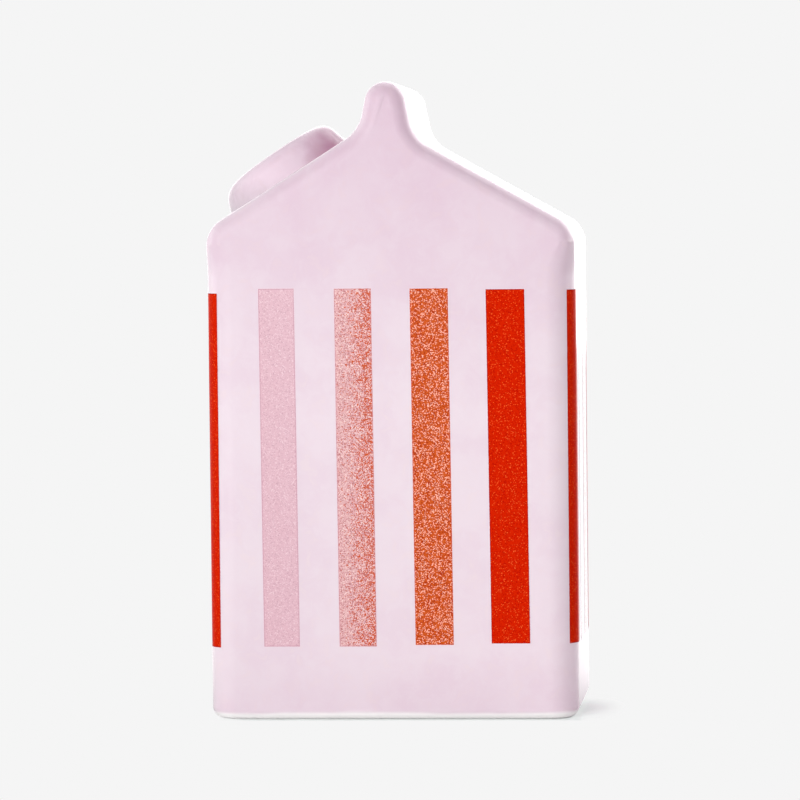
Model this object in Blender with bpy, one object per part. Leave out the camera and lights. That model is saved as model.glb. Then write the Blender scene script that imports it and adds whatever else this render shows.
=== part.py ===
"""Milk carton vase.

A slip cast body in the form of a gabled carton, with a ridge fin along its top, a round
spout luted on its left roof slope as the mouth, and striped transfers fired round the walls.
The front faces -Y, the vase stands on Z = 0, and lengths are in metres.
"""

import math

import bmesh
import bpy
import numpy
from mathutils import Matrix, Vector

# Body
BODY_WIDTH = 0.1044
BODY_DEPTH = 0.0748
SHOULDER_HEIGHT = 0.1400
TOTAL_HEIGHT = 0.1800
WALL_THICKNESS = 0.0050
FLOOR_THICKNESS = 0.0060

# Roof: the two slopes of this hand finished cast differ a little
ROOF_LEFT_DEGREES = 30.6
ROOF_RIGHT_DEGREES = 28.2

# Ridge fin
FIN_OFFSET = -0.0008
FIN_TOP_WIDTH = 0.0106
FIN_FLARE_DEGREES = 8.0

# Rounding all round the foot
FOOT_RADIUS = 0.0033

# Roundings seen from the front
SHOULDER_RADIUS = 0.0115
FIN_ROOT_RADIUS = 0.0100
FIN_TOP_RADIUS = 0.0060

# Roundings between the outline and the front and back faces
WALL_EDGE_RADIUS = 0.0080
ROOF_EDGE_RADIUS = 0.0050
FIN_EDGE_RADIUS = 0.0045

# Inside
CAVITY_CORNER_RADIUS = 0.0060
CAVITY_RIDGE_RADIUS = 0.0100
CAVITY_EDGE_RADIUS = 0.0040

# Largest share of a rounded corner that the rounding of the edge beside it may take
EDGE_SHARE_OF_CORNER = 0.9

# Foot ring
FOOT_RING_WIDTH = 0.0080
FOOT_RECESS_DEPTH = 0.0015
FOOT_RECESS_RADIUS = 0.0060

# Spout
SPOUT_UP_SLOPE = 0.0272
SPOUT_BASE_DIAMETER = 0.0392
SPOUT_HEIGHT = 0.0093
SPOUT_DRAFT_DEGREES = 19.0
SPOUT_RIM_RADIUS = 0.0052
SPOUT_LIP_RADIUS = 0.0012
MOUTH_DIAMETER = 0.0230
MOUTH_BORE_WALLS = 4.0

# Striped transfers
STRIPE_BOTTOM = 0.0203
STRIPE_TOP = 0.1218
STRIPE_THICKNESS = 0.0003
STRIPE_MARGIN = 0.0030
CORNER_STRIPE_NUDGE = 0.0011
STRIPE_WIDTHS = {"pink": 0.0104, "fade": 0.0108, "orange": 0.0111, "red": 0.0112}
STRIPE_RING = (
    ("stripe_front_pink", "pink", 0),
    ("stripe_front_fade", "fade", 0),
    ("stripe_front_orange", "orange", 0),
    ("stripe_front_red", "red", 0),
    ("stripe_corner_front_right", "red", 1),
    ("stripe_right_pink", "pink", 0),
    ("stripe_right_fade", "fade", 0),
    ("stripe_corner_back_right", "red", -1),
    ("stripe_back_pink", "pink", 0),
    ("stripe_back_fade", "fade", 0),
    ("stripe_back_orange", "orange", 0),
    ("stripe_back_red", "red", 0),
    ("stripe_corner_back_left", "red", 1),
    ("stripe_left_pink", "pink", 0),
    ("stripe_left_fade", "fade", 0),
    ("stripe_corner_front_left", "red", -1),
)
FIRST_STRIPE_PITCHES = -1.5

# Finishes: colour and roughness
GLAZE_FINISH = ((0.84, 0.70, 0.78), 0.22)
STRIPE_FINISHES = {
    "pink": ((0.78, 0.53, 0.60), 0.30),
    "fade": ((0.74, 0.42, 0.38), 0.30),
    "orange": ((0.70, 0.17, 0.07), 0.30),
    "red": ((0.66, 0.02, 0.003), 0.28),
}

# Clearance between pieces that touch
SEAT_GAP = 0.0003

# Facets
ARC_STEP_DEGREES = 10.0
EDGE_STEPS = 6
FOOT_STEPS = 4
WALL_STATION_SPACING = 0.0120
SPOUT_STEPS = 48
SHARP_DEGREES = 35.0


def clear_scene():
    """Remove every object that the scene holds."""
    for item in list(bpy.data.objects):
        bpy.data.objects.remove(item, do_unlink=True)


def make_material(name, finish):
    """Return the Principled BSDF material of a finish, which is never a metal here."""
    colour, roughness = finish
    material = bpy.data.materials.new(name)
    material.use_nodes = True
    shader = material.node_tree.nodes["Principled BSDF"]
    shader.inputs["Base Color"].default_value = (*colour, 1.0)
    shader.inputs["Roughness"].default_value = roughness
    shader.inputs["Metallic"].default_value = 0.0
    return material


def make_glaze():
    """Return the pale pink gloss glaze of the body and the spout."""
    return make_material("glaze", GLAZE_FINISH)


def make_inks():
    """Return the material of each kind of striped transfer."""
    return {kind: make_material("stripe_" + kind, finish) for kind, finish in STRIPE_FINISHES.items()}


def make_object(name, mesh_data, material):
    """Turn a bmesh into a smooth shaded object with one material."""
    bmesh.ops.recalc_face_normals(mesh_data, faces=mesh_data.faces)
    mesh = bpy.data.meshes.new(name)
    mesh_data.to_mesh(mesh)
    mesh_data.free()
    mesh.shade_smooth()
    mesh.set_sharp_from_angle(angle=math.radians(SHARP_DEGREES))
    item = bpy.data.objects.new(name, mesh)
    bpy.context.scene.collection.objects.link(item)
    if material is not None:
        mesh.materials.append(material)
    return item


def cut(target, cutter):
    """Cut one object out of another with a live Boolean."""
    cutter.hide_render = True
    cutter.display_type = "WIRE"
    modifier = target.modifiers.new("cut_" + cutter.name, "BOOLEAN")
    modifier.operation = "DIFFERENCE"
    modifier.solver = "EXACT"
    modifier.object = cutter


def meeting_point(start_a, direction_a, start_b, direction_b):
    """Return where two straight lines of a flat drawing meet."""
    across = direction_a.x * direction_b.y - direction_a.y * direction_b.x
    gap = start_b - start_a
    along = (gap.x * direction_b.y - gap.y * direction_b.x) / across
    return start_a + direction_a * along


def corner_arc(before, corner, after, radius):
    """Round one corner of a counter-clockwise drawing.

    The result lists (point, outward normal, convex radius) along the arc, where the radius
    is None on a hollow arc. A corner whose radius is nothing stays one point.
    """
    to_before = before - corner
    to_after = after - corner
    reach = min(to_before.length, to_after.length) / 2
    to_before.normalize()
    to_after.normalize()
    half_angle = to_before.angle(to_after) / 2
    middle = (to_before + to_after).normalized()
    tangent = min(radius / math.tan(half_angle), reach)
    if tangent <= 0.0:
        return [(corner, -middle, None)]
    radius = tangent * math.tan(half_angle)
    turn = math.pi - 2 * half_angle
    convex = to_before.x * to_after.y - to_before.y * to_after.x < 0
    side = 1 if convex else -1
    centre = corner + middle * (radius / math.sin(half_angle))
    steps = max(1, math.ceil(math.degrees(turn) / ARC_STEP_DEGREES))
    arc = []
    for step in range(steps + 1):
        spoke = corner + to_before * tangent - centre
        spoke.rotate(Matrix.Rotation(side * turn * step / steps, 2))
        arc.append((centre + spoke, spoke.normalized() * side, radius if convex else None))
    return arc


def rounded_outline(corners, spacing=math.inf, closed=True):
    """Round every corner, given as (point, radius), and space points along the straight runs.

    An open drawing has no run from its last corner back to its first.
    """
    count = len(corners)
    arcs = []
    for index, (corner, radius) in enumerate(corners):
        arcs.append(corner_arc(corners[index - 1][0], corner, corners[(index + 1) % count][0], radius))
    outline = []
    for index, arc in enumerate(arcs):
        outline.extend(arc)
        if index == count - 1 and not closed:
            break
        start = arc[-1][0]
        run = arcs[(index + 1) % count][0][0] - start
        normal = Vector((run.y, -run.x)).normalized()
        parts = max(1, math.ceil(run.length / spacing))
        for part in range(1, parts):
            outline.append((start + run * (part / parts), normal, None))
    return outline


def roof_line(side, sunk=0.0):
    """Return a point and the direction of one roof slope, sunk below its surface."""
    degrees = ROOF_LEFT_DEGREES if side < 0 else ROOF_RIGHT_DEGREES
    angle = math.radians(degrees)
    direction = Vector((-side * math.cos(angle), math.sin(angle)))
    inward = Vector((-side * math.sin(angle), -math.cos(angle)))
    return Vector((side * BODY_WIDTH / 2, SHOULDER_HEIGHT)) + inward * sunk, direction


def fin_corners(side):
    """Return the root and the top corner of one side of the ridge fin."""
    flare = math.radians(FIN_FLARE_DEGREES)
    top = Vector((FIN_OFFSET + side * FIN_TOP_WIDTH / 2, TOTAL_HEIGHT))
    down = Vector((side * math.sin(flare), -math.cos(flare)))
    start, direction = roof_line(side)
    return meeting_point(start, direction, top, down), top


def carton_outline():
    """Return the front outline of the body, from its right wall over the fin to its left one.

    It is open below, where the foot's own rounding takes over.
    """
    half = BODY_WIDTH / 2
    root_right, top_right = fin_corners(1)
    root_left, top_left = fin_corners(-1)
    corners = [
        (Vector((half, FOOT_RADIUS)), 0.0),
        (Vector((half, SHOULDER_HEIGHT)), SHOULDER_RADIUS),
        (root_right, FIN_ROOT_RADIUS),
        (top_right, FIN_TOP_RADIUS),
        (top_left, FIN_TOP_RADIUS),
        (root_left, FIN_ROOT_RADIUS),
        (Vector((-half, SHOULDER_HEIGHT)), SHOULDER_RADIUS),
        (Vector((-half, FOOT_RADIUS)), 0.0),
    ]
    return rounded_outline(corners, WALL_STATION_SPACING, closed=False)


def cavity_outline():
    """Return the rounded front outline of the space inside the body."""
    half = BODY_WIDTH / 2 - WALL_THICKNESS
    left_start, left_direction = roof_line(-1, WALL_THICKNESS)
    right_start, right_direction = roof_line(1, WALL_THICKNESS)
    upright = Vector((0.0, 1.0))
    ridge = meeting_point(left_start, left_direction, right_start, right_direction)
    left = meeting_point(left_start, left_direction, Vector((-half, 0.0)), upright)
    right = meeting_point(right_start, right_direction, Vector((half, 0.0)), upright)
    corners = [
        (Vector((-half, FLOOR_THICKNESS)), CAVITY_CORNER_RADIUS),
        (Vector((half, FLOOR_THICKNESS)), CAVITY_CORNER_RADIUS),
        (right, CAVITY_CORNER_RADIUS),
        (ridge, CAVITY_RIDGE_RADIUS),
        (left, CAVITY_CORNER_RADIUS),
    ]
    return rounded_outline(corners)


def body_edge_radius(height):
    """Return the rounding of the body's front and back edges at a height."""
    fin_root = max(fin_corners(1)[0].y, fin_corners(-1)[0].y)
    heights = (STRIPE_TOP + STRIPE_MARGIN, SHOULDER_HEIGHT, fin_root, TOTAL_HEIGHT)
    radii = (WALL_EDGE_RADIUS, ROOF_EDGE_RADIUS, ROOF_EDGE_RADIUS, FIN_EDGE_RADIUS)
    return float(numpy.interp(height, heights, radii))


def edge_turns():
    """Return (side, angle) of each ring of a rounded extrusion, from its front to its back."""
    angles = [math.pi / 2 * step / EDGE_STEPS for step in range(EDGE_STEPS + 1)]
    front = [(-1, angle) for angle in reversed(angles)]
    return front + [(1, angle) for angle in angles]


def edge_rings(mesh_data, outline, depth, edge_radii):
    """Add the rings of an outline that is extruded along Y with rounded front and back edges.

    Each ring is the outline drawn in and moved out along a quarter circle, whose radius is
    that of the point in edge_radii, or less where the outline's own corner is small.
    """
    rings = []
    for side, angle in edge_turns():
        ring = []
        for (point, normal, convex_radius), edge_radius in zip(outline, edge_radii):
            radius = edge_radius
            if convex_radius is not None:
                radius = min(radius, convex_radius * EDGE_SHARE_OF_CORNER)
            place = point - normal * radius * (1 - math.cos(angle))
            along = side * (depth / 2 - radius * (1 - math.sin(angle)))
            ring.append(mesh_data.verts.new((place.x, along, place.y)))
        rings.append(ring)
    return rings


def join_rings(mesh_data, rings, closed):
    """Join each ring of points to the next with faces."""
    for ring_a, ring_b in zip(rings, rings[1:]):
        for index in range(0 if closed else 1, len(ring_a)):
            corners = (ring_a[index - 1], ring_a[index], ring_b[index], ring_b[index - 1])
            mesh_data.faces.new(corners)


def cavity_solid():
    """Return the solid form of the space inside the body."""
    mesh_data = bmesh.new()
    outline = cavity_outline()
    depth = BODY_DEPTH - 2 * WALL_THICKNESS
    rings = edge_rings(mesh_data, outline, depth, [CAVITY_EDGE_RADIUS] * len(outline))
    join_rings(mesh_data, rings, closed=True)
    mesh_data.faces.new(rings[0])
    mesh_data.faces.new(rings[-1])
    return mesh_data


def carton_solid():
    """Return the solid form of the body: walls, roof and fin, then the rounding of the foot."""
    mesh_data = bmesh.new()
    outline = carton_outline()
    outline[0] = (outline[0][0], outline[1][1], None)
    outline[-1] = (outline[-1][0], outline[-2][1], None)
    edge_radii = [body_edge_radius(point.y) for point, _, _ in outline]
    rings = edge_rings(mesh_data, outline, BODY_DEPTH, edge_radii)
    join_rings(mesh_data, rings, closed=False)
    mesh_data.faces.new(rings[0])
    mesh_data.faces.new(rings[-1])
    right = [(ring[0], side, angle) for ring, (side, angle) in zip(rings, edge_turns())]
    left = [(ring[-1], side, math.pi - angle) for ring, (side, angle) in zip(rings, edge_turns())]
    plan = right + left[::-1]
    foot_rings = [[vertex for vertex, _, _ in plan]]
    for step in range(1, FOOT_STEPS + 1):
        angle = math.pi / 2 * step / FOOT_STEPS
        inset = FOOT_RADIUS * (1 - math.cos(angle))
        ring = []
        for vertex, side, turn in plan:
            outward = Vector((math.cos(turn), side * math.sin(turn), 0.0))
            place = vertex.co - outward * inset
            place.z = FOOT_RADIUS * (1 - math.sin(angle))
            ring.append(mesh_data.verts.new(place))
        foot_rings.append(ring)
    join_rings(mesh_data, foot_rings, closed=True)
    mesh_data.faces.new(foot_rings[-1])
    return mesh_data


def upright_prism(points, bottom, top):
    """Extrude a flat drawing in X and Y from one height to another."""
    mesh_data = bmesh.new()
    face = mesh_data.faces.new([mesh_data.verts.new((x, y, bottom)) for x, y in points])
    raised = bmesh.ops.extrude_face_region(mesh_data, geom=[face])
    lifted = [item for item in raised["geom"] if isinstance(item, bmesh.types.BMVert)]
    bmesh.ops.translate(mesh_data, verts=lifted, vec=(0.0, 0.0, top - bottom))
    return mesh_data


def turned_solid(outline, steps):
    """Turn a closed drawing of (radius, height) once round the Z axis."""
    mesh_data = bmesh.new()
    verts = [mesh_data.verts.new((point.x, 0.0, point.y)) for point, _, _ in outline]
    edges = [mesh_data.edges.new((verts[index - 1], vertex)) for index, vertex in enumerate(verts)]
    bmesh.ops.spin(
        mesh_data,
        geom=verts + edges,
        cent=(0.0, 0.0, 0.0),
        axis=(0.0, 0.0, 1.0),
        angle=2 * math.pi,
        steps=steps,
        use_merge=True,
    )
    return mesh_data


def mouth_frame():
    """Return the frame of the mouth: X runs up the left slope, Z points out of the roof."""
    start, direction = roof_line(-1)
    seat = start + direction * SPOUT_UP_SLOPE
    turn = Matrix.Rotation(-math.radians(ROOF_LEFT_DEGREES), 4, "Y")
    return Matrix.Translation((seat.x, 0.0, seat.y)) @ turn


def make_foot_recess():
    """Make the cutter that leaves a foot ring under the floor."""
    inset = FOOT_RADIUS + FOOT_RING_WIDTH
    half_width = BODY_WIDTH / 2 - inset
    half_depth = BODY_DEPTH / 2 - inset
    corners = [
        (Vector((-half_width, -half_depth)), FOOT_RECESS_RADIUS),
        (Vector((half_width, -half_depth)), FOOT_RECESS_RADIUS),
        (Vector((half_width, half_depth)), FOOT_RECESS_RADIUS),
        (Vector((-half_width, half_depth)), FOOT_RECESS_RADIUS),
    ]
    points = [tuple(point) for point, _, _ in rounded_outline(corners)]
    return make_object("foot_recess", upright_prism(points, -FLOOR_THICKNESS, FOOT_RECESS_DEPTH), None)


def make_mouth_bore():
    """Make the cutter of the hole through the roof, square to the left slope."""
    mesh_data = bmesh.new()
    bmesh.ops.create_cone(
        mesh_data,
        cap_ends=True,
        segments=SPOUT_STEPS,
        radius1=MOUTH_DIAMETER / 2,
        radius2=MOUTH_DIAMETER / 2,
        depth=MOUTH_BORE_WALLS * WALL_THICKNESS,
    )
    bore = make_object("mouth_bore", mesh_data, None)
    bore.matrix_world = mouth_frame()
    return bore


def make_body(material):
    """Make the hollow body with its mouth hole and foot ring."""
    body = make_object("vase_body", carton_solid(), material)
    cut(body, make_object("cavity", cavity_solid(), None))
    cut(body, make_mouth_bore())
    cut(body, make_foot_recess())
    return body


def make_spout(material):
    """Make the drafted spout with its rounded rim, seated on the left slope."""
    base = SPOUT_BASE_DIAMETER / 2
    bore = MOUTH_DIAMETER / 2
    top = base - SPOUT_HEIGHT * math.tan(math.radians(SPOUT_DRAFT_DEGREES))
    corners = [
        (Vector((bore, SEAT_GAP)), 0.0),
        (Vector((base, SEAT_GAP)), 0.0),
        (Vector((top, SPOUT_HEIGHT)), SPOUT_RIM_RADIUS),
        (Vector((bore, SPOUT_HEIGHT)), SPOUT_LIP_RADIUS),
    ]
    spout = make_object("spout", turned_solid(rounded_outline(corners), SPOUT_STEPS), material)
    spout.matrix_world = mouth_frame()
    return spout


def wall_runs():
    """Return the lengths of the runs round the walls, from the middle of the front."""
    half_front = BODY_WIDTH / 2 - WALL_EDGE_RADIUS
    side = BODY_DEPTH - 2 * WALL_EDGE_RADIUS
    corner = WALL_EDGE_RADIUS * math.pi / 2
    return (half_front, corner, side, corner, 2 * half_front, corner, side, corner, half_front)


def wall_point(distance, offset):
    """Return the point at a distance round the walls, at an offset outside them."""
    place = Vector((0.0, -BODY_DEPTH / 2))
    heading = 0.0
    runs = wall_runs()
    left = distance % sum(runs)
    for index, length in enumerate(runs):
        covered = min(left, length)
        ahead = Vector((math.cos(heading), math.sin(heading)))
        if index % 2 == 0:
            place = place + ahead * covered
        else:
            spoke = Vector((ahead.y, -ahead.x)) * WALL_EDGE_RADIUS
            centre = place - spoke
            spoke.rotate(Matrix.Rotation(covered / WALL_EDGE_RADIUS, 2))
            place = centre + spoke
            heading += covered / WALL_EDGE_RADIUS
        left -= covered
        if left <= 0.0:
            break
    outward = Vector((math.sin(heading), -math.cos(heading)))
    return place + outward * offset


def wall_stations(start, end):
    """Return the distances round the walls that a strip's outline needs, with steps on arcs."""
    arc_step = WALL_EDGE_RADIUS * math.radians(ARC_STEP_DEGREES)
    stations = [start]
    run_start = 0.0
    for index, length in enumerate(wall_runs() * 2):
        low = max(start, run_start)
        high = min(end, run_start + length)
        if high > low:
            steps = 1 if index % 2 == 0 else math.ceil((high - low) / arc_step)
            stations.extend(low + (high - low) * (step + 1) / steps for step in range(steps))
        run_start += length
    return stations


def make_stripe(order, name, kind, nudge, material):
    """Make one stripe, which hugs the wall and wraps round a corner where it meets one."""
    perimeter = sum(wall_runs())
    pitch = perimeter / len(STRIPE_RING)
    centre = (FIRST_STRIPE_PITCHES + order) * pitch + nudge * CORNER_STRIPE_NUDGE
    start = (centre - STRIPE_WIDTHS[kind] / 2) % perimeter
    stations = wall_stations(start, start + STRIPE_WIDTHS[kind])
    outer = [wall_point(station, SEAT_GAP + STRIPE_THICKNESS) for station in stations]
    inner = [wall_point(station, SEAT_GAP) for station in reversed(stations)]
    points = [tuple(point) for point in outer + inner]
    return make_object(name, upright_prism(points, STRIPE_BOTTOM, STRIPE_TOP), material)


def main():
    """Build the vase."""
    clear_scene()
    glaze = make_glaze()
    inks = make_inks()
    make_body(glaze)
    make_spout(glaze)
    for order, (name, kind, nudge) in enumerate(STRIPE_RING):
        make_stripe(order, name, kind, nudge, inks[kind])


main()
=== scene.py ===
"""Looks of a milk carton vase: a glazed body with a spout and striped transfers.

The front gable faces -Y, the vase stands on Z = 0, and lengths are in metres. Each
sub-assembly is a class that builds its meshes and dresses them, and the studio around the
vase is a class too.
"""

import logging
import math
from collections.abc import Callable, Iterator
from contextlib import contextmanager
from dataclasses import dataclass, field
from enum import Enum

import bmesh
import bpy
from mathutils import Matrix, Quaternion, Vector


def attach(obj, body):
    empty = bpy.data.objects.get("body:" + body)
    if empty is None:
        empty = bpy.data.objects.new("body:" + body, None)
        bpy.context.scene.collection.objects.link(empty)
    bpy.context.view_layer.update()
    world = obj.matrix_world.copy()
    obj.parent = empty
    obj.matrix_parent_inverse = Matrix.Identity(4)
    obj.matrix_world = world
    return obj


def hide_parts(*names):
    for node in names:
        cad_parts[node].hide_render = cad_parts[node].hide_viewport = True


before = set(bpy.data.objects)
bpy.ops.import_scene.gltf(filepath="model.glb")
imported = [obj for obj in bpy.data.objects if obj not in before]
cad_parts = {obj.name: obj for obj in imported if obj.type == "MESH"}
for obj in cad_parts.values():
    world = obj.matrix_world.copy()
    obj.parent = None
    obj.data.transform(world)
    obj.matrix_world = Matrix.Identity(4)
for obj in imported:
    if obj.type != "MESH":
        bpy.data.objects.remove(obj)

LOG = logging.getLogger("vase")

Piece = bpy.types.Object
Material = bpy.types.Material
Tree = bpy.types.NodeTree
Socket = bpy.types.NodeSocket
Colour = tuple[float, float, float]
Span = tuple[float, float]
Value = float | tuple[float, ...] | Socket
Test = Callable[[list[Vector], Vector], bool]

BODY = "root"
FILM_MAP = "film"
FRAME_PIXELS = 800
SENSOR_MM = 36.0
MM = 0.001
TINY = 1e-5
FACES_UP = 0.9
WHITE = (1.0, 1.0, 1.0)


def srgb(red: float, green: float, blue: float) -> Colour:
    """Turn a screen colour, from 0 to 255, into the scene's linear colour."""
    shares = (red / 255, green / 255, blue / 255)
    return tuple(s / 12.92 if s <= 0.04045 else ((s + 0.055) / 1.055) ** 2.4 for s in shares)


# modelling by hand


def deselect_everything() -> None:
    """Leave no object selected."""
    bpy.ops.object.select_all(action="DESELECT")


def make_active(piece: Piece) -> None:
    """Select one object alone and make it the active one.

    Args:
        piece: The object to work on.
    """
    deselect_everything()
    piece.select_set(True)
    bpy.context.view_layer.objects.active = piece


@contextmanager
def edit_mode(piece: Piece) -> Iterator[None]:
    """Hold a piece in edit mode, with nothing selected at the start.

    Args:
        piece: The object to edit.

    Yields:
        Nothing; the edit mode ends when the block does.
    """
    make_active(piece)
    bpy.ops.object.mode_set(mode="EDIT")
    bpy.ops.mesh.select_mode(type="FACE")
    bpy.ops.mesh.select_all(action="DESELECT")
    yield
    bpy.ops.object.mode_set(mode="OBJECT")


def pick(kind: str, test: Test) -> None:
    """Select the parts of the mesh in edit mode that pass a test, and no others.

    Args:
        kind: VERT, EDGE or FACE.
        test: Is given the part's corner points and its normal (nothing for an edge).
    """
    bpy.ops.mesh.select_mode(type=kind)
    bpy.ops.mesh.select_all(action="DESELECT")
    mesh = bmesh.from_edit_mesh(bpy.context.edit_object.data)
    if kind == "VERT":
        parts = [(vert, [vert.co], vert.normal) for vert in mesh.verts]
    elif kind == "EDGE":
        parts = [(edge, [vert.co for vert in edge.verts], Vector()) for edge in mesh.edges]
    else:
        parts = [(face, [vert.co for vert in face.verts], face.normal) for face in mesh.faces]
    for part, points, normal in parts:
        if test(points, normal):
            part.select_set(True)
    mesh.select_flush_mode()
    bmesh.update_edit_mesh(bpy.context.edit_object.data)


def above(level: float) -> Test:
    """Give the test for parts that lie above a height."""
    return lambda points, _: min(point.z for point in points) > level


def below(level: float) -> Test:
    """Give the test for parts that lie below a height."""
    return lambda points, _: max(point.z for point in points) < level


def is_near(point: Vector, spots: list[Vector]) -> bool:
    """Say whether a point lies at one of some places."""
    return min((point - spot).length for spot in spots) < TINY


def up(height: float) -> Vector:
    """Give a step straight up, or a point on the vase's middle line."""
    return Vector((0.0, 0.0, height))


def pick_whole() -> None:
    """Select the whole mesh in edit mode."""
    bpy.ops.mesh.select_all(action="SELECT")


def slide(step: Vector) -> None:
    """Move what is selected in edit mode."""
    bpy.ops.transform.translate(value=tuple(step))


def extrude(step: Vector) -> None:
    """Extrude what is selected in edit mode."""
    bpy.ops.mesh.extrude_region_move(TRANSFORM_OT_translate={"value": tuple(step)})


def face_outwards() -> None:
    """Let every face of the mesh in edit mode point outwards."""
    pick_whole()
    bpy.ops.mesh.normals_make_consistent(inside=False)


def settle(piece: Piece) -> None:
    """Put a piece's place, turn and scale into its mesh."""
    make_active(piece)
    bpy.ops.object.transform_apply(location=True, rotation=True, scale=True)


def add_block(size: tuple[float, float, float], level: float) -> Piece:
    """Add a block on the vase's middle line, to be shaped further.

    Args:
        size: Its width, depth and height.
        level: The height of its middle.

    Returns:
        The block.
    """
    bpy.ops.mesh.primitive_cube_add(size=1.0, location=up(level))
    block = bpy.context.active_object
    block.scale = size
    settle(block)
    return block


def finish_with(piece: Piece, name: str, kind: str, **settings: object) -> None:
    """Add a modifier, set it and apply it.

    Args:
        piece: The object that the modifier works on.
        name: The modifier's name.
        kind: The modifier's type.
        settings: Values of the modifier's properties.
    """
    make_active(piece)
    modifier = piece.modifiers.new(name, kind)
    for key, value in settings.items():
        setattr(modifier, key, value)
    bpy.ops.object.modifier_apply(modifier=modifier.name)


def carve(piece: Piece, cutter: Piece) -> None:
    """Cut one object out of another and remove the cutter."""
    finish_with(piece, "carve", "BOOLEAN", operation="DIFFERENCE", solver="EXACT", object=cutter)
    bpy.data.objects.remove(cutter, do_unlink=True)


def smooth(piece: Piece, degrees: float = 40.0) -> None:
    """Shade a piece smooth, with its flat faces kept flat.

    Args:
        piece: The object to shade.
        degrees: Edges that turn more than this stay sharp.
    """
    make_active(piece)
    bpy.ops.object.shade_smooth_by_angle(angle=math.radians(degrees))
    finish_with(piece, "flat_faces", "WEIGHTED_NORMAL", mode="FACE_AREA", keep_sharp=True)


def place(piece: Piece, node: str, finish: Material) -> None:
    """Give a finished piece its material and let it stand for a CAD node.

    Args:
        piece: The finished object.
        node: The node that it replaces.
        finish: The material.
    """
    piece.data.name = piece.name
    piece.data.materials.clear()
    piece.data.materials.append(finish)
    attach(piece, BODY)
    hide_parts(node)
    LOG.info("%s: %d faces, stands for %s", piece.name, len(piece.data.polygons), node)


# node boards and the shared effects


class Board:
    """A node tree that nodes are added to and joined in."""

    def __init__(self, tree: Tree) -> None:
        """Start on a tree with no nodes."""
        self.tree = tree
        tree.nodes.clear()

    def add(self, kind: str, values: dict[str | int, Value] | None = None,
            **settings: object) -> bpy.types.Node:
        """Add one node.

        Args:
            kind: The node's type, without its ShaderNode prefix where it has one.
            values: What each input holds: a number, a colour or another node's output.
            settings: Values of the node's own properties.

        Returns:
            The new node.
        """
        prefix = "" if kind.startswith("Node") else "ShaderNode"
        node = self.tree.nodes.new(prefix + kind)
        for key, value in settings.items():
            setattr(node, key, value)
        for key, value in (values or {}).items():
            socket = node.inputs[key]
            if isinstance(value, Socket):
                self.tree.links.new(value, socket)
            elif socket.type == "RGBA":
                socket.default_value = (*value, 1.0)
            else:
                socket.default_value = value
        return node

    def maths(self, operation: str, first: Value, second: Value) -> Socket:
        """Work out one sum of two values."""
        return self.add("Math", {0: first, 1: second}, operation=operation).outputs[0]

    def lift(self, base: Value, pattern: Value, amount: Value) -> Socket:
        """Add a share of a pattern to a value."""
        return self.maths("ADD", base, self.maths("MULTIPLY", pattern, amount))

    def sway(self, base: Value, pattern: Value, amount: Value) -> Socket:
        """Push a value up and down with a pattern that is 0.5 on average."""
        return self.lift(base, self.maths("SUBTRACT", pattern, 0.5), amount)

    def vectors(self, operation: str, first: Value, second: Value = (0.0, 0.0, 0.0)) -> Socket:
        """Work out one sum of two vectors, or a vector's length."""
        node = self.add("VectorMath", {0: first, 1: second}, operation=operation)
        return node.outputs["Value" if operation == "LENGTH" else "Vector"]

    def split(self, vector: Value) -> bpy.types.bpy_prop_collection:
        """Give a vector's X, Y and Z by name."""
        return self.add("SeparateXYZ", {0: vector}).outputs

    def ramp(self, value: Value, low: Value, high: Value, start: Value = 0.0, end: Value = 1.0) -> Socket:
        """Map a value smoothly from low to high onto start to end."""
        values = {"Value": value, "From Min": low, "From Max": high, "To Min": start, "To Max": end}
        return self.add("MapRange", values, interpolation_type="SMOOTHSTEP").outputs["Result"]

    def mix(self, share: Value, first: Value, second: Value) -> Socket:
        """Mix a share of the second colour into the first."""
        return self.add("Mix", {0: share, 6: first, 7: second}, data_type="RGBA").outputs[2]

    def noise(self, vector: Value, scale: Value, detail: float = 1.0, roughness: float = 0.5,
              distortion: float = 0.0) -> Socket:
        """Add a noise pattern, which is about 0.5 on average."""
        values = {"Vector": vector, "Scale": scale, "Detail": detail, "Roughness": roughness}
        return self.add("TexNoise", values | {"Distortion": distortion}).outputs[0]

    def glossy(self, tone: Socket, rough: Socket, relief: Socket, bump: Span, specular: float) -> None:
        """Finish a material with a glossy surface.

        Args:
            tone: The colour.
            rough: The roughness.
            relief: The height of the relief.
            bump: The relief's strength and depth.
            specular: The level of the mirroring.
        """
        bumped = self.add("Bump", {"Strength": bump[0], "Distance": bump[1], "Height": relief})
        shader = self.add("BsdfPrincipled", {"Base Color": tone, "Roughness": rough,
                                             "Normal": bumped.outputs[0], "Specular IOR Level": specular})
        self.add("OutputMaterial", {"Surface": shader.outputs[0]})

    def by_ray(self, kind: str, lit: Socket, mirrored: Socket, seen: Socket) -> None:
        """Finish a surrounding with what lights the vase, what its gloss mirrors and what is seen.

        Args:
            kind: The output node.
            lit: The shader that lights the vase.
            mirrored: The shader in the gloss.
            seen: The shader in the camera.
        """
        path = self.add("LightPath").outputs
        unseen = self.add("MixShader", {0: path["Is Glossy Ray"], 1: lit, 2: mirrored}).outputs[0]
        surface = self.add("MixShader", {0: path["Is Camera Ray"], 1: unseen, 2: seen}).outputs[0]
        self.add(kind, {"Surface": surface})


def new_material(name: str) -> tuple[Material, Board]:
    """Start a material.

    Args:
        name: Its name.

    Returns:
        The material and the board of its nodes.
    """
    made = bpy.data.materials.new(name)
    made.use_nodes = True
    return made, Board(made.node_tree)


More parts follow.
